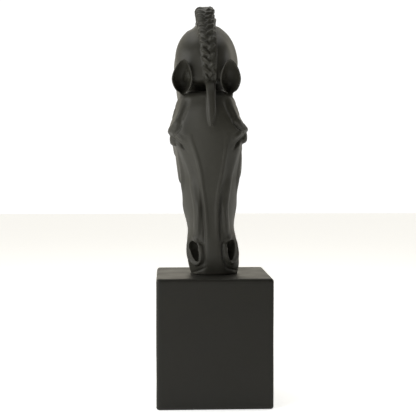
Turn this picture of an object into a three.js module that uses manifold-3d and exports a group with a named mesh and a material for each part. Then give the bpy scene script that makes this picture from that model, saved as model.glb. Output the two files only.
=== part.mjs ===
// A cast horse's head, nose down, standing on its lips on a plain block.
// Millimetres, +Z up, the face looks along -Y. The origin is the centre of the block's underside.

import * as THREE from "three";
import { mergeVertices } from "three/addons/utils/BufferGeometryUtils.js";
import Module from "manifold-3d";

const wasm = await Module();
wasm.setup();

// Driving dimensions.
const BLOCK_WIDTH = 170;
const BLOCK_DEPTH = 170;
const BLOCK_HEIGHT = 190;
const BLOCK_CORNER_RADIUS = 5; // of the four upright edges
const BLOCK_RIM_RADIUS = 4; // of the top and bottom edges
const FIGURE_HEIGHT = 412; // from the top of the block to the top of the mane
const GLUE_LINE = 0.3; // between the lips and the block
const LEAN_DEG = 2.2; // the head leans to the left, seen from the front

// The figure is set out this tall, in millimetres, and all its carving grows or shrinks with it.
const SET_OUT_HEIGHT = 411;
const CARVING_SCALE = FIGURE_HEIGHT / SET_OUT_HEIGHT;

// How finely the figure is faceted.
const HEAD_RINGS = 42;
const NECK_RINGS = 16;
const STEPS_PER_CORNER = 3;
const MANE_RINGS = 66;
const FORELOCK_RINGS = 10;
const HAIR_SIDES = 10;
const EAR_RINGS = 10;
const EAR_SIDES = 14;
const BALL_MERIDIANS = 12;
const BALL_PARALLELS = 8;

const CAST_BLACK = new THREE.MeshStandardMaterial({ color: 0x34332e, roughness: 0.55, metalness: 0 });
const BLOCK_BLACK = new THREE.MeshStandardMaterial({ color: 0x31302b, roughness: 0.6, metalness: 0 });

// The head isn't quite straight: [level, shift to the side] keys.
const HEAD_SWAY = [
  [-10, 2.9], [10, 2.5], [25, 1.3], [37, 0.6], [60, 0.1], [100, 0.1], [130, 0.8], [150, 2.2], [175, 2.2],
  [195, 1], [210, 0.9], [224, -1], [240, -1], [258, -0.5], [277, 0], [SET_OUT_HEIGHT, 0],
];

// The head's cross-sections, each a level above the lips and half an outline of [across, depth]
// corners: middle of the nose, edge of the nose bone, hollow beside it, flank,
// widest place, jaw, edge of the jaw, middle of the throat.
const HEAD_SECTIONS = [
  [-10, [[0, -33], [11, -32], [17, -30], [26, -23], [32, -5], [30, 12], [18, 24], [0, 28]]],
  [2, [[0, -36], [12, -35], [18, -33], [28, -25], [35.4, -6], [32, 12], [20, 26], [0, 30]]],
  [15, [[0, -40], [11, -39], [17, -36], [29, -29], [37.9, -11], [33, 10], [20, 26], [0, 31]]],
  [30, [[0, -43], [10, -42], [15, -38.5], [28, -32], [38.3, -14], [32, 9], [19, 25], [0, 29]]],
  [50, [[0, -43.5], [8.7, -42.7], [12.6, -37.5], [26, -32], [36.9, -12], [31, 11], [18, 27], [0, 29]]],
  [70, [[0, -43], [8.5, -42.3], [12.2, -36.3], [23, -31], [34.8, -4], [31, 16], [18, 31], [0, 32]]],
  [100, [[0, -43.5], [9.7, -42.7], [13.8, -36.8], [24, -30], [40.7, 4], [36, 26], [21, 41], [0, 39]]],
  [130, [[0, -45.5], [13, -44.5], [18, -39], [29, -29], [43.5, 3], [38, 35], [25, 53], [0, 47]]],
  [145, [[0, -47], [15, -46], [21, -41], [32, -30], [47.2, 8], [43, 43], [28, 62], [0, 53]]],
  [167, [[0, -49.5], [18, -48], [25, -43.5], [38, -31], [49.4, 12], [46, 50], [33, 73], [0, 61]]],
  [190, [[0, -52], [24, -49.5], [33, -45], [45, -34], [50.6, 6], [48, 55], [35, 80], [0, 66]]],
  [214, [[0, -54.5], [29, -49.8], [40, -47], [51, -38], [57.2, -14], [48, 50], [35, 79], [0, 66]]],
  [240, [[0, -53], [25, -47], [34, -42], [42, -36], [47, -8], [44.5, 42], [30, 70], [0, 60]]],
  [257, [[0, -46.5], [22, -39.5], [30, -34.5], [37, -28.5], [44, -2], [39, 35], [25, 56], [0, 50]]],
  [266, [[0, -39], [20, -34.5], [26, -30], [32, -23], [38, 2], [34, 30], [20, 44], [0, 40]]],
  [273, [[0, -21], [12, -18], [17, -14], [22, -6], [26, 6], [22, 20], [12, 28], [0, 27]]],
];

// The neck's upright sections, from its bulging front backwards. middle is the level of the widest
// place, and half is half the width there.
const NECK_SECTIONS = [
  { depth: -28, crest: 316, throat: 304, middle: 310, half: 4 },
  { depth: -26.5, crest: 331, throat: 291, middle: 311, half: 17 },
  { depth: -23.5, crest: 340, throat: 285.5, middle: 313, half: 25 },
  { depth: -18, crest: 348, throat: 283, middle: 315, half: 32 },
  { depth: -9, crest: 356.5, throat: 282, middle: 317, half: 38 },
  { depth: 3, crest: 366, throat: 277, middle: 318, half: 42 },
  { depth: 20, crest: 377, throat: 262, middle: 318, half: 45 },
  { depth: 45, crest: 386, throat: 240, middle: 318, half: 48 },
  { depth: 75, crest: 389, throat: 216, middle: 316, half: 48.6 },
  { depth: 105, crest: 383, throat: 191, middle: 310, half: 48.5 },
  { depth: 135, crest: 367, throat: 164, middle: 300, half: 48 },
  { depth: 165, crest: 343, throat: 134, middle: 286, half: 47 },
  { depth: 195, crest: 312, throat: 104, middle: 268, half: 46 },
];
// Half of every neck section, as shares: [of the half width, of the way up to the crest (+) or down
// to the throat (-)].
const NECK_OUTLINE = [
  [0, 1], [0.25, 0.915], [0.56, 0.765], [0.79, 0.585], [0.95, 0.32],
  [1, 0], [0.91, -0.25], [0.74, -0.55], [0.38, -0.9], [0, -1],
];
// The same for its bulging front, which gives way to the neck's outline between two depths.
const NECK_FRONT_OUTLINE = [
  [0, 1], [0.3, 0.93], [0.62, 0.79], [0.84, 0.6], [0.96, 0.34],
  [1, 0], [0.98, -0.4], [0.9, -0.74], [0.55, -0.97], [0, -1],
];
const NECK_FRONT_END = { from: -8, to: 35 };
// The neck swings back towards the upright behind the leaning head.
const NECK_SWING = { offset: 5.6, from: 0, to: 60 };
// Rings stand closer together towards the bulging front.
const NECK_CROWDING = 1.5;
// The flat cut at the back of the neck, by its upper and lower ends.
const NECK_CUT_TOP = { depth: 176, level: 340 };
const NECK_CUT_FOOT = { depth: 124, level: 174 };

// Strokes of the modelling tool, each made on both sides. A stroke follows [across, depth, level]
// points, reaches wide to each side, and raises (+) or sinks (-) the skin by height in its middle.
const HEAD_STROKES = {
  noseBoneEdge: {
    points: [[28, -50, 205], [20, -48, 170], [13.5, -45, 135], [9, -43, 100], [8, -43, 55]],
    wide: 5,
    height: 1.2,
  },
  noseHollow: {
    points: [[19, -45, 158], [15.5, -39, 120], [12.8, -38, 85], [12.4, -39, 50]],
    wide: 5.5,
    height: -2,
  },
  lipMuscle: { points: [[35, -36, 165], [27, -32, 125], [22, -31, 90], [23, -33, 62]], wide: 8, height: 2 },
  facialCrest: { points: [[50, -16, 186], [43, -10, 150], [39, -6, 122]], wide: 9, height: 2 },
  hollowUnderCrest: { points: [[46, 6, 148], [41, 8, 128], [37, 12, 105]], wide: 13, height: -2 },
  cheekPlate: { points: [[48, 34, 178], [48, 42, 198]], wide: 34, height: 2.6 },
  cheekFrontEdge: {
    points: [[45, -2, 150], [43, 12, 134], [39, 30, 124], [32, 48, 122]],
    wide: 9,
    height: -2.6,
  },
  brow: { points: [[43, -45, 212], [51, -36, 217], [56, -20, 217], [57, -4, 211]], wide: 11, height: 3 },
  upperLid: { points: [[38, -45, 199], [45, -40, 206], [52, -31, 211], [57, -16, 213]], wide: 7, height: 2 },
  lidCrease: {
    points: [[39, -43, 187], [46, -37, 192], [52, -28, 198], [56, -16, 202]],
    wide: 7,
    height: -2.8,
  },
  templeHollow: { points: [[27, -47, 252], [34, -46, 239], [43, -41, 225]], wide: 12, height: -2.6 },
  cheekboneArch: { points: [[49, -12, 234], [45, -4, 247]], wide: 12, height: 2 },
  nostrilWing: {
    points: [[33, -28, 58], [24, -37, 50], [19, -40, 36], [20, -38, 22], [29, -31, 13]],
    wide: 6,
    height: 2.6,
  },
  outerNostrilRim: { points: [[37, -19, 52], [40, -16, 38], [37, -20, 20]], wide: 7, height: 1.6 },
  nostrilGroove: { points: [[14, -42, 38], [14, -41, 24], [20, -37, 11]], wide: 5, height: -2 },
  mouth: { points: [[31, 4, 0], [34, 4, 18], [33, 12, 38], [32, 18, 48]], wide: 5, height: -2.6 },
  chin: { points: [[0, 30, 14], [10, 28, 13]], wide: 17, height: 4 },
  chinGroove: { points: [[0, 30, 40], [16, 28, 38]], wide: 13, height: -3 },
  jawChannel: { points: [[0, 42, 75], [0, 54, 130], [0, 68, 195]], wide: 14, height: -4 },
};

const NECK_STROKES = {
  crestGroove: {
    points: [[14, -24, 312], [15, 0, 356], [17, 45, 378], [18, 90, 378], [18, 140, 354]],
    wide: 11,
    height: -2.4,
  },
  wingOfFirstBone: { points: [[42, 18, 300], [47, 40, 286]], wide: 16, height: 3 },
  throatGroove: { points: [[38, 60, 262], [42, 95, 252], [42, 140, 232]], wide: 16, height: -3 },
  neckMuscle: { points: [[47, 60, 322], [49, 110, 316], [48, 150, 300]], wide: 24, height: 2 },
};
const STROKE_STEPS = 14;

// A nostril's hollow is two eggs in one, long up the face, leaning out at the top and turned to the side.
const NOSTRIL_EGGS = [
  { middle: [28.5, -33, 35], long: 16.5, wide: 7.8, deep: 14, leanDeg: 24, turnDeg: 42 },
  { middle: [31.3, -31, 42.5], long: 9, wide: 8.8, deep: 13, leanDeg: 0, turnDeg: 40 },
];
const EYEBALL = { middle: [44.8, -19, 203], radius: 13 };

// An ear is a leaf-shaped cup. Its half width and half depth are [share of the length, size] keys.
const EAR = {
  length: 64,
  wall: 3.2,
  tiltDeg: 15, // forwards
  halfWidths: [
    [0, 5], [0.15, 4], [0.2, 4.2], [0.235, 6], [0.27, 9.2], [0.38, 13.2], [0.54, 15.4], [0.72, 13.2],
    [0.86, 9.2], [0.94, 5.6], [1, 1.4],
  ],
  halfDepths: [[0, 8], [0.15, 9], [0.25, 12], [0.4, 15], [0.7, 12], [0.92, 6], [1, 1.4]],
  hollowFrom: 0.18, // shares of the length
  hollowTo: 0.93,
  mouth: 2.2, // how far the hollow comes forwards, in walls
};
// Each ear's foot, the lean of its tip outwards, and how far its middle bends outwards.
const EARS = [
  { side: 1, foot: [35.2, -15, 255.5], leanDeg: 1.4, bow: 0.4 },
  { side: -1, foot: [33.3, -15, 258], leanDeg: -2, bow: 2.8 },
];

// Hair lies along a line of [across, depth, level] points. Its half widths, and its heights over the
// line, are [share of the way along, size] keys. It is rooted below the line.
const MANE = {
  line: [
    [5.8, -20, 282], [5.8, -27, 302], [5.2, -27.5, 320], [4.9, -20, 345], [4.4, 3, 366],
    [5, 42, 384], [7, 76, 388], [8, 108, 381], [8, 138, 364], [8, 184, 330],
  ],
  halfWidths: [
    [0, 7.5], [0.07, 9.5], [0.14, 10.6], [0.2, 11.6], [0.3, 13.3], [0.4, 14.3], [0.6, 14.8], [1, 13],
  ],
  heights: [[0, 3], [0.1, 5], [0.2, 6], [0.3, 8], [0.46, 18], [0.6, 23], [0.8, 21], [1, 18]],
  root: 10,
  squareness: 0.45,
};
const FORELOCK = {
  line: [
    [6.4, -17, 292], [6.4, -31, 284], [6.3, -42, 271], [6.2, -50, 255], [5.4, -54, 238], [2.2, -54.5, 219],
  ],
  halfWidths: [[0, 6], [0.2, 7.2], [0.55, 6.2], [0.8, 4.2], [1, 1.5]],
  heights: [[0, 3], [0.3, 4.6], [0.7, 3.8], [1, 1]],
  root: 4,
  squareness: 0.6,
};
// The mane is plaited: bulges follow each other along either side, a pitch apart, and slant inwards.
const PLAIT_PITCH = 17;
const PLAIT_RELIEF = 0.13; // share of the mane's size
const PLAIT_SLANT = 1.1; // half turns from the side to the middle

const BOTH_SIDES = [1, -1];
const radians = THREE.MathUtils.degToRad;
const { lerp } = THREE.MathUtils;
const toVector = ([x, y, z]) => new THREE.Vector3(x, y, z);

// A smooth curve through [place, value] keys, read at one place.
function along(keys, place) {
  const last = keys.length - 1;
  const slope = (i) => {
    const [a, b] = [keys[Math.max(i - 1, 0)], keys[Math.min(i + 1, last)]];
    return (b[1] - a[1]) / (b[0] - a[0]);
  };
  let i = 0;
  while (i < last - 1 && place > keys[i + 1][0]) i += 1;
  const [[p0, v0], [p1, v1]] = [keys[i], keys[i + 1]];
  const step = p1 - p0;
  const t = THREE.MathUtils.clamp((place - p0) / step, 0, 1);
  const [t2, t3] = [t * t, t * t * t];
  return (
    (2 * t3 - 3 * t2 + 1) * v0 +
    (t3 - 2 * t2 + t) * step * slope(i) +
    (3 * t2 - 2 * t3) * v1 +
    (t3 - t2) * step * slope(i + 1)
  );
}

// Half an outline of [a, b] corners, its ends on the middle line, rounded into a smooth curve and
// mirrored into a whole ring.
function ringOf(corners) {
  const mirrored = ([a, b]) => [-a, b];
  const run = [mirrored(corners[1]), ...corners, mirrored(corners.at(-2))];
  const places = [0];
  for (let i = 1; i < run.length; i += 1) {
    const gap = Math.hypot(run[i][0] - run[i - 1][0], run[i][1] - run[i - 1][1]);
    places.push(places[i - 1] + gap);
  }
  const firsts = run.map(([a], i) => [places[i], a]);
  const seconds = run.map(([, b], i) => [places[i], b]);
  const half = [corners[0]];
  for (let i = 1; i < run.length - 2; i += 1) {
    for (let step = i === 1 ? 1 : 0; step < STEPS_PER_CORNER; step += 1) {
      const place = lerp(places[i], places[i + 1], step / STEPS_PER_CORNER);
      half.push([along(firsts, place), along(seconds, place)]);
    }
  }
  return [...half, corners.at(-1), ...half.slice(1).reverse().map(mirrored)];
}

// A closed skin over a stack of rings with equally many points, each end closed by a fan.
function skin(rings) {
  const count = rings[0].length;
  const middles = [rings[0], rings.at(-1)].map((ring) =>
    ring.reduce((sum, p) => sum.add(p), new THREE.Vector3()).divideScalar(count),
  );
  const points = [...rings.flat(), ...middles];
  const [firstMiddle, lastMiddle] = [points.length - 2, points.length - 1];
  const end = (rings.length - 1) * count;
  const index = [];
  for (let j = 0; j < count; j += 1) {
    const k = (j + 1) % count;
    for (let start = 0; start < end; start += count) {
      const [a, b, c, d] = [start + j, start + k, start + count + j, start + count + k];
      index.push(a, b, d, a, d, c);
    }
    index.push(firstMiddle, k, j, lastMiddle, end + j, end + k);
  }
  const geometry = new THREE.BufferGeometry().setFromPoints(points);
  geometry.setIndex(index);
  return geometry;
}

// A closed geometry as a solid, turned the right way out.
function solid(geometry) {
  const bare = new THREE.BufferGeometry().setAttribute("position", geometry.getAttribute("position"));
  bare.setIndex(geometry.index);
  const merged = mergeVertices(bare, 1e-4);
  const triVerts = new Uint32Array(merged.index.array);
  const vertProperties = merged.attributes.position.array;
  const made = new wasm.Manifold(new wasm.Mesh({ numProp: 3, vertProperties, triVerts }));
  if (made.volume() > 0) return made;
  return new wasm.Manifold(new wasm.Mesh({ numProp: 3, vertProperties, triVerts: triVerts.reverse() }));
}

function geometryOf(made) {
  const { vertProperties, triVerts } = made.getMesh();
  const geometry = new THREE.BufferGeometry();
  geometry.setAttribute("position", new THREE.BufferAttribute(vertProperties, 3));
  return geometry.setIndex(new THREE.BufferAttribute(triVerts, 1));
}

function strokeLine(points, side) {
  const route = points.map(([x, y, z]) => new THREE.Vector3(side * x, y, z));
  return new THREE.CatmullRomCurve3(route, false, "centripetal").getPoints(STROKE_STEPS);
}

// Moves each point of a skin along its normal by the strokes that reach it.
function carve(geometry, strokes) {
  geometry.computeVertexNormals();
  const made = Object.values(strokes).flatMap(({ points, wide, height }) =>
    BOTH_SIDES.map((side) => ({ wide, height, line: strokeLine(points, side) })),
  );
  const place = geometry.getAttribute("position");
  const normal = geometry.getAttribute("normal");
  const [p, n, near] = [new THREE.Vector3(), new THREE.Vector3(), new THREE.Vector3()];
  const piece = new THREE.Line3();
  for (let i = 0; i < place.count; i += 1) {
    p.fromBufferAttribute(place, i);
    n.fromBufferAttribute(normal, i);
    let rise = 0;
    for (const { wide, height, line } of made) {
      let gap = Infinity;
      for (let k = 1; k < line.length; k += 1) {
        piece.set(line[k - 1], line[k]).closestPointToPoint(p, true, near);
        gap = Math.min(gap, near.distanceTo(p));
      }
      if (gap < wide) rise += height * (1 - (gap / wide) ** 2) ** 2;
    }
    p.addScaledVector(n, rise);
    place.setXYZ(i, p.x, p.y, p.z);
  }
  return geometry;
}

function headSolid() {
  const cornerCount = HEAD_SECTIONS[0][1].length;
  const keys = (corner, axis) => HEAD_SECTIONS.map(([level, half]) => [level, half[corner][axis]]);
  const corners = Array.from({ length: cornerCount }, (_, corner) => [keys(corner, 0), keys(corner, 1)]);
  const [lowest, highest] = [HEAD_SECTIONS[0][0], HEAD_SECTIONS.at(-1)[0]];
  const rings = [];
  for (let i = 0; i <= HEAD_RINGS; i += 1) {
    const level = lerp(lowest, highest, i / HEAD_RINGS);
    const half = corners.map(([across, depth]) => [along(across, level), along(depth, level)]);
    rings.push(ringOf(half).map(([x, y]) => new THREE.Vector3(x, y, level)));
  }
  return solid(carve(skin(rings), HEAD_STROKES));
}

function neckSolid() {
  const keys = (name) => NECK_SECTIONS.map((section) => [section.depth, section[name]]);
  const [crests, throats, middles, halves] = ["crest", "throat", "middle", "half"].map(keys);
  const [start, end] = [NECK_SECTIONS[0].depth, NECK_SECTIONS.at(-1).depth];
  const rings = [];
  for (let i = 0; i <= NECK_RINGS; i += 1) {
    const depth = lerp(start, end, (i / NECK_RINGS) ** NECK_CROWDING);
    const [middle, half] = [along(middles, depth), along(halves, depth)];
    const [up, down] = [along(crests, depth) - middle, middle - along(throats, depth)];
    const { from, to } = NECK_FRONT_END;
    const rear = THREE.MathUtils.clamp((depth - from) / (to - from), 0, 1);
    const outline = NECK_FRONT_OUTLINE.map((front, corner) => {
      const [out, rise] = front.map((share, axis) => lerp(share, NECK_OUTLINE[corner][axis], rear));
      return [out * half, middle + rise * (rise > 0 ? up : down)];
    });
    const swing = NECK_SWING.offset * THREE.MathUtils.smoothstep(depth, NECK_SWING.from, NECK_SWING.to);
    rings.push(ringOf(outline).map(([x, z]) => new THREE.Vector3(x + swing, depth, z)));
  }
  return solid(carve(skin(rings), NECK_STROKES)).subtract(behindNeckCut());
}

// Everything behind the neck's flat cut.
function behindNeckCut() {
  const size = 2 * SET_OUT_HEIGHT;
  const [rise, run] = [NECK_CUT_TOP.level - NECK_CUT_FOOT.level, NECK_CUT_TOP.depth - NECK_CUT_FOOT.depth];
  const geometry = new THREE.BoxGeometry(size, size, size).translate(0, size / 2, 0);
  geometry.rotateX(-Math.atan2(run, rise));
  return solid(geometry.translate(0, NECK_CUT_FOOT.depth, NECK_CUT_FOOT.level));
}

// The outside of an ear, or with a wall its hollow, from one share of the length to another.
function earShell({ side, foot, leanDeg, bow }, wall, from, to) {
  const rings = [];
  for (let i = 0; i <= EAR_RINGS; i += 1) {
    const t = lerp(from, to, i / EAR_RINGS);
    const half = Math.max(along(EAR.halfWidths, t) - wall, 0.4);
    const deep = Math.max(along(EAR.halfDepths, t) - wall, 0.4);
    const bend = side * bow * Math.sin(Math.PI * t);
    const ring = [];
    for (let j = 0; j < EAR_SIDES; j += 1) {
      const turn = (j / EAR_SIDES) * 2 * Math.PI;
      const [x, y] = [bend + half * Math.cos(turn), deep * Math.sin(turn) - wall * EAR.mouth];
      ring.push(new THREE.Vector3(x, y, t * EAR.length));
    }
    rings.push(ring);
  }
  const [x, y, z] = foot;
  const geometry = skin(rings).rotateX(radians(EAR.tiltDeg)).rotateY(radians(side * leanDeg));
  return solid(geometry.translate(side * x, y, z));
}

function nostrilSolid({ middle, long, wide, deep, leanDeg, turnDeg }, side) {
  const [x, y, z] = middle;
  const geometry = new THREE.SphereGeometry(1, BALL_MERIDIANS, BALL_PARALLELS);
  geometry.scale(wide, deep, long);
  geometry.rotateY(radians(side * leanDeg)).rotateZ(radians(side * turnDeg));
  return solid(geometry.translate(side * x, y, z));
}

function eyeballSolid(side) {
  const [x, y, z] = EYEBALL.middle;
  const geometry = new THREE.SphereGeometry(EYEBALL.radius, BALL_MERIDIANS, BALL_PARALLELS);
  return solid(geometry.translate(side * x, y, z));
}

// Hair along its line. relief gives how far the skin swells at a place across (-1 to 1) and along (mm).
function hairSolid({ line, halfWidths, heights, root, squareness }, rings, relief) {
  const path = new THREE.CatmullRomCurve3(line.map(toVector), false, "centripetal");
  const length = path.getLength();
  const across = new THREE.Vector3(1, 0, 0);
  const stack = [];
  for (let i = 0; i <= rings; i += 1) {
    const t = i / rings;
    const middle = path.getPointAt(t);
    const out = new THREE.Vector3().crossVectors(across, path.getTangentAt(t)).normalize();
    const [half, height] = [along(halfWidths, t), along(heights, t)];
    const ring = [];
    for (let j = 0; j < HAIR_SIDES; j += 1) {
      const turn = (j / HAIR_SIDES) * 2 * Math.PI;
      const [c, s] = [Math.cos(turn), Math.sin(turn)];
      const swell = relief(c, t * length);
      const wide = half * Math.sign(c) * Math.abs(c) ** squareness * (1 + swell);
      const lift = s > 0 ? height * s ** squareness * (1 + 0.4 * swell) : root * s;
      ring.push(middle.clone().addScaledVector(across, wide).addScaledVector(out, lift));
    }
    stack.push(ring);
  }
  return solid(skin(stack));
}

function plaitRelief(across, place) {
  const turn = (place / PLAIT_PITCH) * 2 * Math.PI + (across > 0 ? 0 : Math.PI);
  return PLAIT_RELIEF * Math.cos(turn - PLAIT_SLANT * Math.PI * Math.abs(across));
}

function figureMesh() {
  let figure = neckSolid().add(headSolid());
  for (const side of BOTH_SIDES) figure = figure.add(eyeballSolid(side));
  for (const ear of EARS) figure = figure.add(earShell(ear, 0, 0, 1));
  for (const ear of EARS) figure = figure.subtract(earShell(ear, EAR.wall, EAR.hollowFrom, EAR.hollowTo));
  figure = figure.add(hairSolid(MANE, MANE_RINGS, plaitRelief).subtract(behindNeckCut()));
  figure = figure.add(hairSolid(FORELOCK, FORELOCK_RINGS, () => 0));
  for (const side of BOTH_SIDES) {
    for (const egg of NOSTRIL_EGGS) figure = figure.subtract(nostrilSolid(egg, side));
  }

  // The head sways a little, the figure leans, and its lips are cut level where they meet the block.
  const leaning = geometryOf(figure);
  const place = leaning.getAttribute("position");
  for (let i = 0; i < place.count; i += 1) place.setX(i, place.getX(i) + along(HEAD_SWAY, place.getZ(i)));
  leaning.scale(CARVING_SCALE, CARVING_SCALE, CARVING_SCALE);
  leaning.rotateY(radians(-LEAN_DEG));
  const below = new THREE.BoxGeometry(FIGURE_HEIGHT, FIGURE_HEIGHT, FIGURE_HEIGHT);
  below.translate(0, 0, -FIGURE_HEIGHT / 2);
  const horse = new THREE.Mesh(geometryOf(solid(leaning).subtract(solid(below))), CAST_BLACK);
  horse.name = "horse_head";
  horse.position.z = BLOCK_HEIGHT + GLUE_LINE;
  return horse;
}

function blockMesh() {
  const corner = BLOCK_CORNER_RADIUS;
  const [w, d] = [BLOCK_WIDTH / 2 - corner, BLOCK_DEPTH / 2 - corner];
  const plan = new THREE.Shape();
  plan.absarc(w, d, corner, 0, Math.PI / 2);
  plan.absarc(-w, d, corner, Math.PI / 2, Math.PI);
  plan.absarc(-w, -d, corner, Math.PI, 1.5 * Math.PI);
  plan.absarc(w, -d, corner, 1.5 * Math.PI, 2 * Math.PI);
  const geometry = new THREE.ExtrudeGeometry(plan, {
    depth: BLOCK_HEIGHT - 2 * BLOCK_RIM_RADIUS,
    bevelThickness: BLOCK_RIM_RADIUS,
    bevelSize: BLOCK_RIM_RADIUS,
    bevelOffset: -BLOCK_RIM_RADIUS,
    bevelSegments: 3,
    curveSegments: 3,
  });
  const block = new THREE.Mesh(geometry, BLOCK_BLACK);
  block.name = "plinth";
  block.position.z = BLOCK_RIM_RADIUS;
  return block;
}

const sculpture = new THREE.Group();
sculpture.add(blockMesh(), figureMesh());

export default sculpture;
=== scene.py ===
import math

import bmesh
import bpy
import numpy as np
from mathutils import Matrix, Vector, noise


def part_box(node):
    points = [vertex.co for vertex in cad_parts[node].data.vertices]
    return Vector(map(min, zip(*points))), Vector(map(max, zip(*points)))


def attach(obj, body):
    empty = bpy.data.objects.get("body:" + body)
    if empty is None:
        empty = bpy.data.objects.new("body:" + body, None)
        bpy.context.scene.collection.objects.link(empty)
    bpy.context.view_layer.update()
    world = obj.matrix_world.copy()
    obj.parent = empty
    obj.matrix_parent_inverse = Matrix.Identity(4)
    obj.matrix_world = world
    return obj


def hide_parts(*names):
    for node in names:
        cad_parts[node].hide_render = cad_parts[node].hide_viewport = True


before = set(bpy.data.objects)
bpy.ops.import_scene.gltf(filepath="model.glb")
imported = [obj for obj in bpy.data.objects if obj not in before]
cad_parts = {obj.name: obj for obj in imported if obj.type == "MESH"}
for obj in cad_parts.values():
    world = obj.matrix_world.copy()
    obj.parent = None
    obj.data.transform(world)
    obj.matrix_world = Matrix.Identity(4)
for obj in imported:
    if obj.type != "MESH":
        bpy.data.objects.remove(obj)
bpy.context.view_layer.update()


# Plinth: a plain block of black polyresin, cast hollow in a rubber mould and rubbed down by hand, so
# its edges are soft and its faces not quite flat. It stands free on its flat underside.

def srgb(code):
    channels = [int(code[i:i + 2], 16) / 255 for i in (1, 3, 5)]
    return [*(c / 12.92 if c <= 0.04045 else ((c + 0.055) / 1.055) ** 2.4 for c in channels), 1.0]


def add(tree, kind, settings=(), links=()):
    """One node with its settings, by attribute or socket, and its links, each socket from (node, output)."""
    node = tree.nodes.new(kind)
    for name, value in dict(settings).items():
        if isinstance(name, str) and hasattr(node, name):
            setattr(node, name, value)
        else:
            node.inputs[name].default_value = value
    for socket, (source, output) in dict(links).items():
        tree.links.new(source.outputs[output], node.inputs[socket])
    return node


def black_resin(name, dark, light, roughness, patches_mm, grain_mm, grain_depth_mm):
    """Filled polyresin with a matt black coat: deep, slightly warm black, with a faint soft sheen. The
    coat is a little thinner and duller in patches, and it has a fine eggshell grain."""
    material = bpy.data.materials.new(name)
    material.use_nodes = True
    tree = material.node_tree
    shader = tree.nodes["Principled BSDF"]
    shader.inputs["IOR"].default_value = 1.48
    shader.inputs["Specular IOR Level"].default_value = 0.3
    place = add(tree, "ShaderNodeTexCoord")
    patches = add(tree, "ShaderNodeTexNoise", {"Scale": 1000 / patches_mm, "Detail": 5.0, "Roughness": 0.6},
                  {"Vector": (place, "Object")})
    colours = add(tree, "ShaderNodeValToRGB", {}, {"Fac": (patches, "Fac")})
    colours.color_ramp.elements[0].position = 0.35
    colours.color_ramp.elements[0].color = srgb(dark)
    colours.color_ramp.elements[1].position = 0.7
    colours.color_ramp.elements[1].color = srgb(light)
    dulling = add(tree, "ShaderNodeMapRange",
                  {"From Min": 0.3, "From Max": 0.7, "To Min": roughness[0], "To Max": roughness[1]},
                  {"Value": (patches, "Fac")})
    grain = add(tree, "ShaderNodeTexNoise", {"Scale": 1000 / grain_mm, "Detail": 4.0, "Roughness": 0.65},
                {"Vector": (place, "Object")})
    bump = add(tree, "ShaderNodeBump", {"Strength": 0.6, "Distance": grain_depth_mm / 1000},
               {"Height": (grain, "Fac")})
    tree.links.new(colours.outputs["Color"], shader.inputs["Base Color"])
    tree.links.new(dulling.outputs["Result"], shader.inputs["Roughness"])
    tree.links.new(bump.outputs["Normal"], shader.inputs["Normal"])
    return material


def smooth_piece(name, bm, material, node):
    """A finished piece in place of a node: faces out, shaded smooth, riding on the one body."""
    bmesh.ops.recalc_face_normals(bm, faces=bm.faces)
    mesh = bpy.data.meshes.new(name)
    bm.to_mesh(mesh)
    bm.free()
    mesh.shade_smooth()
    mesh.materials.append(material)
    piece = bpy.data.objects.new(name, mesh)
    bpy.context.scene.collection.objects.link(piece)
    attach(piece, "root")
    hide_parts(node)
    return piece


block_low, block_high = (Vector(corner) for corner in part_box("plinth"))
EDGE_RADIUS = 0.0048
EDGE_STEPS = 5
BLOCK_CUTS = 40
LONG_EDGE = 4 * EDGE_RADIUS  # only the edges along the faces are longer
BLOCK_WAVE = 0.0005  # how far the faces depart from flat, inwards
BLOCK_WAVE_LENGTH = 0.07

block = bmesh.new()
bmesh.ops.create_cube(block, size=1)
bmesh.ops.scale(block, vec=block_high - block_low, verts=block.verts)
bmesh.ops.translate(block, vec=(block_high + block_low) / 2, verts=block.verts)
bmesh.ops.bevel(block, geom=block.edges, affect="EDGES", offset=EDGE_RADIUS, segments=EDGE_STEPS, profile=0.5,
                material=-1)
long_edges = [edge for edge in block.edges if edge.calc_length() > LONG_EDGE]
bmesh.ops.subdivide_edges(block, edges=long_edges, cuts=BLOCK_CUTS, use_grid_fill=True)
block.normal_update()
for vert in block.verts:
    if vert.co.z > block_low.z + EDGE_RADIUS:
        sunk = 0.5 + 0.5 * noise.noise(vert.co / BLOCK_WAVE_LENGTH)
        vert.co -= vert.normal * BLOCK_WAVE * sunk

block_resin = black_resin("black polyresin block", "#161510", "#1a1913", (0.44, 0.58), 40, 0.9, 0.05)
smooth_piece("plinth_block", block, block_resin, "plinth")


# Horse head: head, ears, forelock, plaited mane and neck, sculpted in clay and cast as one hollow
# piece in the same black polyresin, then glued to the block by its lips. It is shaped here in
# millimetres above the lips, with the face towards -Y, and then leaned, cut and set on the block.

LEAN_DEG = 2.2
SET_OUT_HEIGHT = 411.2  # from the lips to the top of the mane, before it is scaled to the frame
VOXEL = 1.0
FACE_LIMIT = 196000
SAME_SPOT = 1e-3
BALL_SUBDIVISIONS = 4

# How many rows of points go round and along each shell.
HEAD_GRID = (240, 260)
NECK_GRID = (200, 150)
EAR_GRID = (72, 80)
MANE_GRID = (64, 200)
LOCK_GRID = (14, 400)
RIDGE_GRID = (16, 200)
FORELOCK_GRID = (48, 80)
LINE_STEPS = 400

# The head isn't quite straight: (level, shift to the side) keys.
HEAD_SWAY = [
    (-10, 2.9), (10, 2.5), (25, 1.3), (37, 0.6), (60, 0.1), (100, 0.1), (130, 0.8), (150, 2.2), (175, 2.2),
    (195, 1), (210, 0.9), (224, -1), (240, -1), (258, -0.5), (277, 0), (420, 0),
]

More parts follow.
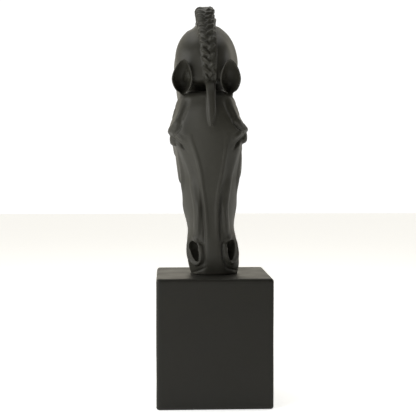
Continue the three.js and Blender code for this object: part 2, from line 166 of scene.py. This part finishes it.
# Each section is a level and half an outline of (across, depth) corners: middle of the nose, edge of
# the nose bone, hollow beside it, flank, widest place, jaw, edge of the jaw, middle of the throat.
HEAD_SECTIONS = [
    (-10, (0, -33), (11, -32), (17, -30), (26, -23), (32, -5), (30, 12), (18, 24), (0, 28)),
    (2, (0, -36), (12, -35), (18, -33), (28, -25), (35.4, -6), (32, 12), (20, 26), (0, 30)),
    (15, (0, -40), (11, -39), (17, -36), (29, -29), (37.9, -11), (33, 10), (20, 26), (0, 31)),
    (30, (0, -43), (10, -42), (15, -38.5), (28, -32), (38.3, -14), (32, 9), (19, 25), (0, 29)),
    (50, (0, -43.5), (8.7, -42.9), (12.6, -40), (26, -33.5), (36.9, -12), (31, 11), (18, 27), (0, 29)),
    (70, (0, -43), (8.5, -42.6), (12.2, -39.6), (23.5, -34.5), (34.8, -4), (31, 16), (18, 31), (0, 32)),
    (100, (0, -43.5), (9.7, -43), (13.8, -39.8), (25, -34), (40.7, 4), (36, 26), (21, 41), (0, 39)),
    (130, (0, -45.5), (13, -44.7), (18, -41.3), (30, -32), (43.5, 3), (38, 35), (25, 53), (0, 47)),
    (145, (0, -47), (15, -46), (21, -41), (32, -30), (47.2, 8), (43, 43), (28, 62), (0, 53)),
    (167, (0, -49.5), (18, -48), (25, -43.5), (38, -31), (49.4, 12), (46, 50), (33, 73), (0, 61)),
    (190, (0, -52), (24, -49.5), (33, -45), (45, -34), (50.6, 6), (48, 55), (35, 80), (0, 66)),
    (214, (0, -54.5), (29, -49.8), (40, -47), (51, -38), (57.2, -14), (48, 50), (35, 79), (0, 66)),
    (240, (0, -53), (25, -47), (34, -42), (42, -36), (47, -8), (44.5, 42), (30, 70), (0, 60)),
    (257, (0, -46), (22, -40), (30, -35), (37, -28.5), (44, -2), (39, 35), (25, 56), (0, 50)),
    (266, (0, -37), (20, -32), (26, -30), (32, -23), (38, 2), (34, 30), (20, 44), (0, 40)),
    (273, (0, -8), (12, -6), (17, -4), (22, -6), (26, 6), (22, 20), (12, 28), (0, 27)),
]

# The neck's upright sections: depth, level of the crest, of the throat and of the widest place, and
# half the width there. Its half outline is in shares of the half width and of the way up or down.
NECK_SECTIONS = [
    (-28, 316, 304, 310, 4), (-26.5, 331, 291, 311, 17), (-23.5, 340, 285.5, 313, 25),
    (-18, 348, 283, 315, 32), (-9, 356.5, 282, 317, 38), (3, 366, 277, 318, 42),
    (20, 377, 262, 318, 45), (45, 386, 240, 318, 48), (75, 389, 216, 316, 48.6), (105, 383, 191, 310, 48.5),
    (135, 367, 164, 300, 48), (165, 343, 134, 286, 47), (195, 312, 104, 268, 46),
]
NECK_OUTLINE = [
    (0, 1), (0.25, 0.915), (0.56, 0.765), (0.79, 0.585), (0.95, 0.32),
    (1, 0), (0.91, -0.25), (0.74, -0.55), (0.38, -0.9), (0, -1),
]
NECK_FRONT_OUTLINE = [
    (0, 1), (0.3, 0.93), (0.62, 0.79), (0.84, 0.6), (0.96, 0.34),
    (1, 0), (0.98, -0.4), (0.9, -0.74), (0.55, -0.97), (0, -1),
]
NECK_CROWDING = 1.5  # its rows of points lie closer together towards the front
NECK_FRONT_END = (-8, 35)  # the depths between which the front's fuller outline gives way to the neck's
NECK_SWING = 5.6  # sideways, back towards the upright behind the leaning head
NECK_SWING_END = 60
NECK_CUT_TOP = (176, 340)
NECK_CUT_FOOT = (124, 174)

EYE_PLACE = (44.8, -19, 203)
EYE_RADIUS = 13

# The nostrils are cut by eggs: sides, place, half sizes across, inwards and upright, and the degrees
# that the egg leans and turns outwards. The second and the third widen the top of each nostril.
NOSTRILS = [
    ((1, -1), (26.5, -30.5, 34.5), (7.4, 19, 17), 22, 34),
    ((1,), (25.8, -31, 43), (9.2, 17, 7.8), 0, 34),
    ((-1,), (28, -30, 43), (10.6, 17, 8.4), 0, 34),
]

EAR_FEET = {1: (35.2, -15, 255.5), -1: (33.3, -15, 258)}
EAR_LENGTH = 64
EAR_WALL = 2.2
EAR_SET_FORWARD = 5  # its rims lie this far in front of the middle of its foot
EAR_OUTER_SHARE = 0.55  # of the way round its section
EAR_THIN_SHARE = 0.3  # its wall is never more of its half width than this
EAR_TILT = 15
EAR_CURLS = [  # the degrees that its rims reach round
    (0, 0), (0.18, 0), (0.25, 10), (0.4, 12), (0.7, 10), (0.9, 6), (1, 0),
]
EAR_BOWS = {1: 0.4, -1: 2.8}
EAR_LEANS = {1: 1.4, -1: -2}
EAR_HALF_WIDTHS = [
    (0, 5), (0.15, 4), (0.2, 4.2), (0.235, 6), (0.27, 9.2), (0.38, 13.2),
    (0.54, 15.4), (0.72, 13.2), (0.86, 9.2), (0.94, 5.6), (1, 1),
]
EAR_HALF_DEPTHS = [(0, 8), (0.13, 9), (0.22, 17), (0.35, 21), (0.5, 19), (0.7, 15), (0.92, 6), (1, 1)]
EAR_HOLLOW = [(0, -0.35), (0.16, -0.35), (0.2, 0.3), (0.25, 0.95), (0.6, 1), (0.88, 0.9), (0.96, 0.4), (1, 0)]

MANE_LINE = [
    (5.8, -6, 279), (5.8, -23, 287), (5.6, -28, 303), (5.2, -27.5, 320), (4.9, -20, 345), (4.4, 3, 366),
    (5, 42, 384), (7, 76, 388), (8, 108, 381), (8, 138, 364), (8, 184, 330),
]
MANE_HALF_WIDTHS = [
    (0, 6.5), (0.04, 8), (0.1, 9.6), (0.16, 10.8), (0.24, 12.2), (0.32, 13.6),
    (0.4, 14.6), (0.46, 15.8), (0.64, 16), (1, 13.5),
]
MANE_HEIGHTS = [
    (0, 1), (0.04, 4), (0.09, 6.5), (0.2, 8), (0.3, 9.5), (0.46, 18), (0.6, 23), (0.8, 21), (1, 18),
]
MANE_BED = [  # the height of the plain hair under the plait
    (0, -2), (0.06, 1.6), (0.2, 3.4), (0.3, 5), (0.46, 13.5), (0.54, 20.5), (0.64, 20.5), (0.75, 17), (1, 12),
]
MANE_BED_NARROW = 0.85  # its width as a share of the mane's
MANE_ROOT = 10  # how deep it is rooted in the neck
MANE_SQUARENESS = 0.4  # 1 is round, and less is squarer
PLAIT_PITCH = 12.5  # between the bulges along one side
STRAND_SHARE = 0.38  # a strand's radius as a share of the mane's half width
STRAND_DIPS = [(0, 0.26), (0.42, 0.26), (0.58, 0.13), (1, 0.13)]  # how far a strand dips under the others
LOCK_SHARE = 0.55  # a lock's radius as a share of its strand's
STRAND_TWISTS = 14  # each strand is three thinner locks, twisted this often along the mane
RIDGE_END = 0.62  # the share of the mane's length that it runs along
RIDGE_STAND = 0.6  # how far its middle stands off the skin, in radii
RIDGE_RADIUS = 1.7  # the hair laid flat beside the plait ends in a thin ridge along its right edge

FORELOCK_LINE = [
    (6.4, -8, 284), (6.4, -29, 281), (6.3, -42, 271), (6.2, -50, 255), (6.2, -54, 238), (4.6, -54.5, 219),
]
FORELOCK_HALF_WIDTHS = [(0, 6), (0.2, 7.2), (0.55, 6.6), (0.82, 5.6), (1, 2.4)]
FORELOCK_HEIGHTS = [(0, -3), (0.12, 0.5), (0.26, 4), (0.5, 4.6), (0.7, 3.8), (1, 1)]
FORELOCK_ROOT = 4
FORELOCK_SQUARENESS = 0.6


def smooth(places, values, at):
    """Smooth curves through values at places, read at one place per row."""
    places = np.broadcast_to(np.asarray(places, float), (len(at), np.shape(places)[-1]))
    values = np.broadcast_to(np.asarray(values, float), places.shape)
    last = places.shape[1] - 1
    span = (at[:, None] > places[:, 1:-1]).sum(axis=1)

    def pick(table, index):
        return np.take_along_axis(table, np.clip(index, 0, last)[:, None], axis=1)[:, 0]

    def slope(index):
        run = pick(places, index + 1) - pick(places, index - 1)
        return (pick(values, index + 1) - pick(values, index - 1)) / run

    start, step = pick(places, span), pick(places, span + 1) - pick(places, span)
    t = np.clip((at - start) / step, 0, 1)
    return ((2 * t**3 - 3 * t**2 + 1) * pick(values, span) + (t**3 - 2 * t**2 + t) * step * slope(span)
            + (3 * t**2 - 2 * t**3) * pick(values, span + 1) + (t**3 - t**2) * step * slope(span + 1))


def keyed(keys, at):
    places, values = zip(*keys)
    return smooth(places, values, at)


def rounded_half(corners, at):
    """A point at a share (-1 to 1, by sides) of a mirrored outline whose half has these corners per row."""
    mirrored = corners * (-1, 1)
    run = np.concatenate([mirrored[:, 1:2], corners, mirrored[:, -2:-1]], axis=1)
    steps = np.linalg.norm(np.diff(run, axis=1), axis=2)
    places = np.concatenate([np.zeros((len(run), 1)), np.cumsum(steps, axis=1)], axis=1)
    place = places[:, 1] + np.abs(at) * (places[:, -2] - places[:, 1])
    first, second = (smooth(places, run[:, :, axis], place) for axis in (0, 1))
    return np.where(at < 0, -first, first), second


def shell(bm, around, lengthwise, place):
    """A closed shell: a sheet wrapped round so that place(turn, way) gives its points, with closed ends."""
    sheet = bmesh.ops.create_grid(bm, x_segments=around, y_segments=lengthwise, size=0.5)["verts"]
    spots = np.array([vert.co for vert in sheet])
    for vert, spot in zip(sheet, place(spots[:, 0] + 0.5, spots[:, 1] + 0.5)):
        vert.co = spot
    bmesh.ops.remove_doubles(bm, verts=sheet, dist=SAME_SPOT)
    rims = [edge for edge in bm.edges if edge.is_boundary]
    caps = bmesh.ops.holes_fill(bm, edges=rims, sides=0)["faces"]
    bmesh.ops.triangulate(bm, faces=caps)


def head_place(turn, way):
    levels = [section[0] for section in HEAD_SECTIONS]
    level = levels[0] + way * (levels[-1] - levels[0])
    table = np.array([section[1:] for section in HEAD_SECTIONS], float)
    corners = np.stack([np.stack([smooth(levels, table[:, corner, axis], level) for axis in (0, 1)], axis=1)
                        for corner in range(table.shape[1])], axis=1)
    x, y = rounded_half(corners, 2 * turn - 1)
    return np.stack([x, y, level], axis=1)


def neck_place(turn, way):
    depths, *columns = zip(*NECK_SECTIONS)
    depth = depths[0] + way**NECK_CROWDING * (depths[-1] - depths[0])
    crest, throat, middle, half = (smooth(depths, column, depth) for column in columns)
    rear = np.clip((depth - NECK_FRONT_END[0]) / (NECK_FRONT_END[1] - NECK_FRONT_END[0]), 0, 1)
    corners = []
    for (front_out, front_rise), (rear_out, rear_rise) in zip(NECK_FRONT_OUTLINE, NECK_OUTLINE):
        out = front_out + rear * (rear_out - front_out)
        rise = front_rise + rear * (rear_rise - front_rise)
        reach = np.where(rise > 0, crest - middle, middle - throat)
        corners.append(np.stack([out * half, middle + rise * reach], axis=1))
    corners = np.stack(corners, axis=1)
    x, z = rounded_half(corners, 2 * turn - 1)
    swing = np.clip(depth / NECK_SWING_END, 0, 1)
    return np.stack([x + NECK_SWING * swing**2 * (3 - 2 * swing), depth, z], axis=1)


def ear_place(side):
    x, y, z = EAR_FEET[side]
    turned = (Matrix.Translation((side * x, y, z))
              @ Matrix.Rotation(math.radians(side * EAR_LEANS[side]), 4, "Y")
              @ Matrix.Rotation(math.radians(EAR_TILT), 4, "X"))

    def place(turn, way):
        half, deep = keyed(EAR_HALF_WIDTHS, way), keyed(EAR_HALF_DEPTHS, way)
        hollow = keyed(EAR_HOLLOW, way)
        outside = turn < EAR_OUTER_SHARE
        curl = np.radians(keyed(EAR_CURLS, way))
        share = np.where(outside, turn / EAR_OUTER_SHARE, (1 - turn) / (1 - EAR_OUTER_SHARE))
        angle = share * (math.pi + 2 * curl) - curl
        wall = np.where(outside, 0, np.minimum(EAR_WALL, EAR_THIN_SHARE * half))
        x = (half - wall) * np.cos(angle) + side * EAR_BOWS[side] * np.sin(math.pi * way)
        cup = np.where(outside | (angle < 0) | (angle > math.pi), 1, hollow)
        y = (deep - wall) * cup * np.sin(angle) - EAR_SET_FORWARD
        local = np.stack([x, y, way * EAR_LENGTH, np.ones_like(x)], axis=1)
        return (local @ np.array(turned.transposed()))[:, :3]

    return place


def frame_along(line, way):
    """Points of a smooth line, and the directions across it and out of the skin there."""
    line = np.array(line, float)
    places = np.concatenate([[0], np.cumsum(np.linalg.norm(np.diff(line, axis=0), axis=1))])
    fine = np.linspace(0, 1, LINE_STEPS)
    points = np.stack([smooth(places, line[:, axis], fine * places[-1]) for axis in range(3)], axis=1)
    tangents = np.gradient(points, axis=0)
    out = np.cross((1.0, 0.0, 0.0), tangents)
    out /= np.linalg.norm(out, axis=1)[:, None]
    middle, lift = (np.stack([np.interp(way, fine, table[:, axis]) for axis in range(3)], axis=1)
                    for table in (points, out))
    return middle, np.array([1.0, 0.0, 0.0]), lift, places[-1]


def lock_place(line, half_widths, heights, root, squareness, narrow=1.0):
    """A lock of hair that lies on the skin along a line, rooted a little below it."""
    def place(turn, way):
        middle, across, out, _ = frame_along(line, way)
        c, s = np.cos(2 * math.pi * turn), np.sin(2 * math.pi * turn)
        wide = narrow * keyed(half_widths, way) * np.sign(c) * np.abs(c) ** squareness
        lift = np.where(s > 0, keyed(heights, way) * np.abs(s) ** squareness, root * s)
        return middle + wide[:, None] * across + lift[:, None] * out

    return place


def ridge_place(turn, way):
    middle, across, out, _ = frame_along(MANE_LINE, RIDGE_END * way)
    beside = keyed(MANE_HALF_WIDTHS, RIDGE_END * way) + RIDGE_RADIUS * np.cos(2 * math.pi * turn)
    lift = RIDGE_RADIUS * (np.sin(2 * math.pi * turn) + RIDGE_STAND)
    return middle + beside[:, None] * across + lift[:, None] * out


def strand_place(start, lock):
    """A lock of one of the plait's three strands, which swing from side to side and over and under."""
    def place(turn, way):
        middle, across, out, length = frame_along(MANE_LINE, way)
        phase = 2 * math.pi * (way * length / (3 * PLAIT_PITCH) + start)
        half, height = keyed(MANE_HALF_WIDTHS, way), keyed(MANE_HEIGHTS, way)
        strand, thin = STRAND_SHARE * half, LOCK_SHARE * STRAND_SHARE * half
        twist = 2 * math.pi * (STRAND_TWISTS * way + lock)
        angle = 2 * math.pi * turn
        wide = (half - strand) * np.sin(phase) + (strand - thin) * np.cos(twist) + thin * np.cos(angle)
        dip = keyed(STRAND_DIPS, way) * half * (np.sin(2 * phase) - 1)
        lift = height - strand + dip + (strand - thin) * np.sin(twist) + thin * np.sin(angle)
        return middle + wide[:, None] * across + lift[:, None] * out

    return place


def modified(source, kind, **settings):
    """The mesh that a modifier makes of another mesh."""
    carrier = bpy.data.objects.new("carrier", source)
    bpy.context.scene.collection.objects.link(carrier)
    modifier = carrier.modifiers.new(kind, kind)
    for name, value in settings.items():
        setattr(modifier, name, value)
    evaluated = carrier.evaluated_get(bpy.context.evaluated_depsgraph_get())
    result = bpy.data.meshes.new_from_object(evaluated)
    bpy.data.objects.remove(carrier)
    return result


def mesh_of(bm):
    bmesh.ops.recalc_face_normals(bm, faces=bm.faces)
    mesh = bpy.data.meshes.new("clay")
    bm.to_mesh(mesh)
    bm.free()
    return mesh


skull = bmesh.new()
shell(skull, *HEAD_GRID, head_place)
skull_mesh = mesh_of(skull)

nostrils = bmesh.new()
for sides, (x, y, z), half_sizes, lean, turn in NOSTRILS:
    for side in sides:
        turned = (Matrix.Translation((side * x, y, z)) @ Matrix.Rotation(math.radians(side * turn), 4, "Z")
                  @ Matrix.Rotation(math.radians(side * lean), 4, "Y") @ Matrix.Diagonal((*half_sizes, 1)))
        bmesh.ops.create_icosphere(nostrils, subdivisions=BALL_SUBDIVISIONS, radius=1, matrix=turned)
nostrils = modified(mesh_of(nostrils), "REMESH", mode="VOXEL", voxel_size=VOXEL)
nostril_cutter = bpy.data.objects.new("nostril_cutter", nostrils)
bpy.context.scene.collection.objects.link(nostril_cutter)

clay = bmesh.new()
clay.from_mesh(skull_mesh)
shell(clay, *NECK_GRID, neck_place)
for side in (1, -1):
    shell(clay, *EAR_GRID, ear_place(side))
    x, y, z = EYE_PLACE
    bmesh.ops.create_icosphere(clay, subdivisions=BALL_SUBDIVISIONS, radius=EYE_RADIUS,
                               matrix=Matrix.Translation((side * x, y, z)))
shell(clay, *MANE_GRID, lock_place(MANE_LINE, MANE_HALF_WIDTHS, MANE_BED, MANE_ROOT, MANE_SQUARENESS,
                                   MANE_BED_NARROW))
for start in (0, 1 / 3, 2 / 3):
    for lock in (0, 1 / 3, 2 / 3):
        shell(clay, *LOCK_GRID, strand_place(start, lock))
shell(clay, *RIDGE_GRID, ridge_place)
shell(clay, *FORELOCK_GRID, lock_place(FORELOCK_LINE, FORELOCK_HALF_WIDTHS, FORELOCK_HEIGHTS,
                                       FORELOCK_ROOT, FORELOCK_SQUARENESS))
fused = modified(mesh_of(clay), "REMESH", mode="VOXEL", voxel_size=VOXEL)
pierced = modified(fused, "BOOLEAN", operation="DIFFERENCE", object=nostril_cutter, solver="MANIFOLD")
evened = modified(pierced, "SMOOTH", factor=0.5, iterations=3)

# Strokes of the modelling tool: how far each reaches to a side, how much it raises (+) or sinks (-)
# the skin, and the (across, depth, level) points that it follows. Each is made on both sides.
STROKES = [
    (5, 1.4,  # nose bone edge
     [(28, -50, 205), (20, -48, 170), (13.5, -45, 135), (9, -43, 100), (8, -43, 55)]),
    (3.6, -2.4, [(15.5, -42, 132), (13.4, -41, 104), (12.5, -41, 76), (12.2, -41, 48)]),  # hollow beside it
    (8, 1.6,  # muscle that lifts the lip
     [(35, -36, 165), (25, -36, 125), (20.5, -36, 95), (23.5, -35, 75), (26.5, -34, 60)]),
    (4.6, 1.7, [(18, -38.6, 108), (18.5, -37.6, 88), (19.5, -36.9, 70), (22, -36, 58)]),  # its inner edge
    (9, 2, [(50, -16, 186), (43, -10, 150), (39, -6, 122)]),  # facial crest
    (13, -2, [(46, 6, 148), (41, 8, 128), (37, 12, 105)]),  # hollow under it
    (34, 2.6, [(48, 34, 178), (48, 42, 198)]),  # cheek plate
    (9, -2.6, [(45, -2, 150), (43, 12, 134), (39, 30, 124), (32, 48, 122)]),  # its front edge
    (8, 2, [(40, -47, 229), (47, -42, 225), (54, -32, 219), (58, -18, 214), (58, -4, 210)]),  # brow
    (4.5, -3.6,  # fold between the brow and the lid
     [(38, -48, 226), (43, -46, 218), (48, -42, 212), (54, -34, 206)]),
    (5, 2.6, [(36, -45, 199), (41, -43, 204), (46, -39, 209), (52, -31, 213), (57, -18, 212)]),  # upper lid
    (4.6, -5,  # crease under it
     [(35, -45, 181), (40, -43, 187), (44, -40, 192), (48, -36, 197), (53, -30, 203)]),
    (4, -3.5, [(38, -44, 184), (41, -42, 188), (45, -39, 193)]),  # its inner corner
    (6, 1.6, [(50, -30, 194), (55, -18, 198)]),  # lower lid
    (7, -2, [(26, -37.2, 258), (30.5, -41, 246), (36, -43, 234), (41, -43.5, 223)]),  # temple hollow
    (7, 0.7, [(34, -38, 252), (40, -38, 240), (47, -36, 228)]),  # edge of the cheekbone beside it
    (12, 2, [(49, -12, 234), (45, -4, 247)]),  # cheekbone arch
    (5, 2, [(33, -28, 58), (24, -36, 51), (18.5, -38.5, 36), (20, -37, 22), (28, -31, 15)]),  # nostril wing
    (3.4, 2.2,  # its lower rim
     [(36, -20, 24), (31, -27.6, 18), (25, -32, 16.5), (20.2, -35, 22), (18.8, -36.8, 32)]),
    (7, 1.6, [(37, -19, 52), (40, -16, 38), (37, -20, 20)]),  # outer rim of the nostril
    (3.2, -2.2,  # groove beside the nostril
     [(13.4, -39.6, 44), (13.4, -39.6, 34), (13.6, -39, 24), (17, -36, 14)]),
    (2.6, -2, [(23, -35.2, 50), (19, -37, 48), (15, -39, 46), (13.6, -39.6, 40)]),  # fold over the nostril
    (2.8, -1.1, [(13.5, -36.8, 12), (20, -33, 8.5), (28, -26, 5), (34, -11, 2.5)]),  # parting of the lips
    (5, -3, [(31, 4, 0), (34, 4, 18), (33, 12, 38), (32, 18, 48)]),  # mouth
    (17, 4, [(0, 30, 14), (10, 28, 13)]),  # chin
    (13, -3, [(0, 30, 40), (16, 28, 38)]),  # groove behind it
    (14, -4, [(0, 42, 75), (0, 54, 130), (0, 68, 195)]),  # channel between the jaws
    (11, -2.4,  # beside the crest
     [(14, -24, 312), (15, 0, 356), (17, 45, 378), (18, 90, 378), (18, 140, 354)]),
    (16, 3, [(42, 18, 300), (47, 40, 286)]),  # wing of the first neck bone
    (16, -3, [(38, 60, 262), (42, 95, 252), (42, 140, 232)]),  # throat groove
    (24, 2, [(47, 60, 322), (49, 110, 316), (48, 150, 300)]),  # neck muscle
]
STROKE_STEPS = 24
STROKE_END_SHARE = 0.25  # of its height that a stroke keeps at its ends
STROKE_FADE = 0.3  # the share of a stroke over which it fades in and out


def stroke_rise(spots, reach, height, points):
    """How far one stroke moves each spot along its normal: less towards the stroke's ends."""
    line = np.array(points, float)
    places = np.arange(len(line))
    way = np.linspace(0, len(line) - 1, STROKE_STEPS)
    route = np.stack([smooth(places, line[:, axis], way) for axis in range(3)], axis=1)
    rise = np.zeros(len(spots))
    low, high = route.min(axis=0) - reach, route.max(axis=0) + reach
    near = np.all((spots > low) & (spots < high), axis=1).nonzero()[0]
    gap = np.full(len(near), np.inf)
    at = np.zeros(len(near))
    for step, (start, end) in enumerate(zip(route[:-1], route[1:])):
        leg = end - start
        share = np.clip((spots[near] - start) @ leg / (leg @ leg), 0, 1)
        distance = np.linalg.norm(spots[near] - start - share[:, None] * leg, axis=1)
        closer = distance < gap
        gap = np.where(closer, distance, gap)
        at = np.where(closer, (step + share) / (len(route) - 1), at)
    fade = np.sin(0.5 * math.pi * np.clip(np.minimum(at, 1 - at) / STROKE_FADE, 0, 1))
    strength = STROKE_END_SHARE + (1 - STROKE_END_SHARE) * fade
    rise[near] = height * strength * np.clip(1 - (gap / reach) ** 2, 0, None) ** 2
    return rise


def carve(mesh, strokes):
    spots = np.empty(len(mesh.vertices) * 3)
    mesh.vertices.foreach_get("co", spots)
    normals = np.empty(len(mesh.vertices) * 3)
    mesh.vertex_normals.foreach_get("vector", normals)
    spots, normals = spots.reshape(-1, 3), normals.reshape(-1, 3)
    rise = np.zeros(len(spots))
    for reach, height, points in strokes:
        for side in (1, -1):
            rise += stroke_rise(spots * (side, 1, 1), reach, height, points)
    spots += normals * rise[:, None]
    spots[:, 0] += keyed(HEAD_SWAY, spots[:, 2])
    mesh.vertices.foreach_set("co", spots.ravel())
    mesh.update()


carve(evened, STROKES)
evened.calc_loop_triangles()
thinned = modified(evened, "DECIMATE", ratio=min(1, FACE_LIMIT / len(evened.loop_triangles)))

# The neck is sawn off flat, the figure leans, and its lips are ground flat to sit on the block.
head_low, head_high = (Vector(corner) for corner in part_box("horse_head"))
figure = bmesh.new()
figure.from_mesh(thinned)


def cut_flat(bm, place, normal):
    everything = bm.verts[:] + bm.edges[:] + bm.faces[:]
    bmesh.ops.bisect_plane(bm, geom=everything, plane_co=place, plane_no=normal, clear_outer=True)
    rims = [edge for edge in bm.edges if edge.is_boundary]
    caps = bmesh.ops.holes_fill(bm, edges=rims, sides=0)["faces"]
    bmesh.ops.triangulate(bm, faces=caps)


saw_normal = Vector((0, NECK_CUT_TOP[1] - NECK_CUT_FOOT[1], NECK_CUT_FOOT[0] - NECK_CUT_TOP[0]))
cut_flat(figure, (0, *NECK_CUT_FOOT), saw_normal.normalized())
bmesh.ops.rotate(figure, matrix=Matrix.Rotation(math.radians(-LEAN_DEG), 3, "Y"), verts=figure.verts)
cut_flat(figure, (0, 0, 0), (0, 0, -1))
to_metres = (head_high.z - head_low.z) / SET_OUT_HEIGHT
bmesh.ops.scale(figure, vec=(to_metres, to_metres, to_metres), verts=figure.verts)
bmesh.ops.translate(figure, vec=(0, 0, head_low.z), verts=figure.verts)

head_resin = black_resin("black polyresin head", "#292822", "#302f29", (0.46, 0.58), 40, 0.8, 0.05)
smooth_piece("horse_head_cast", figure, head_resin, "horse_head")
bpy.data.objects.remove(nostril_cutter)


# Floor: a plain white sheet of acrylic, lit a little from below, so wide that from the front its edge
# doesn't show.
FLOOR_HALF_WIDTH = 6
floor_mesh = bmesh.new()
bmesh.ops.create_grid(floor_mesh, x_segments=1, y_segments=1, size=FLOOR_HALF_WIDTH)
bmesh.ops.translate(floor_mesh, vec=(0, 0, block_low.z), verts=floor_mesh.verts)
floor_data = bpy.data.meshes.new("floor")
floor_mesh.to_mesh(floor_data)
floor_mesh.free()
floor = bpy.data.objects.new("floor", floor_data)
bpy.context.scene.collection.objects.link(floor)
acrylic = bpy.data.materials.new("white acrylic")
acrylic.use_nodes = True
acrylic_shader = acrylic.node_tree.nodes["Principled BSDF"]
acrylic_shader.inputs["Base Color"].default_value = srgb("#f4f4f2")
acrylic_shader.inputs["Roughness"].default_value = 0.9
acrylic_shader.inputs["Emission Color"].default_value = (1, 1, 1, 1)
acrylic_shader.inputs["Emission Strength"].default_value = 0.6
floor_data.materials.append(acrylic)


# Light: a white tent that is open towards the viewer, with soft boxes at the sides and above, in front
# of a plain white backdrop.
bpy.context.scene.view_settings.view_transform = "Standard"
world = bpy.data.worlds.new("white tent")
world.use_nodes = True
bpy.context.scene.world = world
tent = world.node_tree
direction = add(tent, "ShaderNodeTexCoord")
split = add(tent, "ShaderNodeSeparateXYZ", {}, {"Vector": (direction, "Generated")})
opening = add(tent, "ShaderNodeMapRange", {"From Min": 0.03, "From Max": 0.95, "To Min": 0.08, "To Max": 1.3},
              {"Value": (split, "Y")})
tent.links.new(opening.outputs["Result"], tent.nodes["Background"].inputs["Strength"])
tent.nodes["Background"].inputs["Color"].default_value = (1, 0.947, 0.81, 1)
seen = add(tent, "ShaderNodeLightPath")
backdrop = add(tent, "ShaderNodeBackground", {"Color": (1, 1, 1, 1), "Strength": 1.1})
joined = add(tent, "ShaderNodeMixShader", {}, {
    0: (seen, "Is Camera Ray"), 1: (tent.nodes["Background"], "Background"), 2: (backdrop, "Background"),
})
tent.links.new(joined.outputs["Shader"], tent.nodes["World Output"].inputs["Surface"])

LIGHT_AIM = Vector((0, 0, 0.35))
SOFT_BOXES = [
    # name, place, size, watts
    ("left soft box", (-1.2, -0.9, 0.78), 1.2, 18.6),
    ("left side soft box", (-1.35, 0, 0.85), 0.5, 6),
    ("right soft box", (1.4, 0.3, 0.85), 0.4, 3),
    ("top soft box", (0, 0.5, 1.9), 1.8, 11),
]
for name, place, size, watts in SOFT_BOXES:
    lamp = bpy.data.lights.new(name, "AREA")
    lamp.size = size
    lamp.energy = watts
    box = bpy.data.objects.new(name, lamp)
    box.location = place
    aim = LIGHT_AIM - Vector(place)
    box.rotation_euler = aim.to_track_quat("-Z", "Y").to_euler()
    bpy.context.scene.collection.objects.link(box)


# Camera: straight in front at the height of the horse's eyes and a little to the left, with a long
# lens.
CAMERA_PLACE = (-0.070, -1.455, 0.3477)
CAMERA_YAW_DEG = 2.49
CAMERA_PITCH_DEG = 2.35
CAMERA_LENS_MM = 83.3
SENSOR_WIDTH_MM = 36
camera_data = bpy.data.cameras.new("camera")
camera_data.lens = CAMERA_LENS_MM
camera_data.sensor_width = SENSOR_WIDTH_MM
camera = bpy.data.objects.new("camera", camera_data)
camera.location = CAMERA_PLACE
camera.rotation_euler = (math.radians(90 - CAMERA_PITCH_DEG), 0, math.radians(-CAMERA_YAW_DEG))
bpy.context.scene.collection.objects.link(camera)
bpy.context.scene.camera = camera
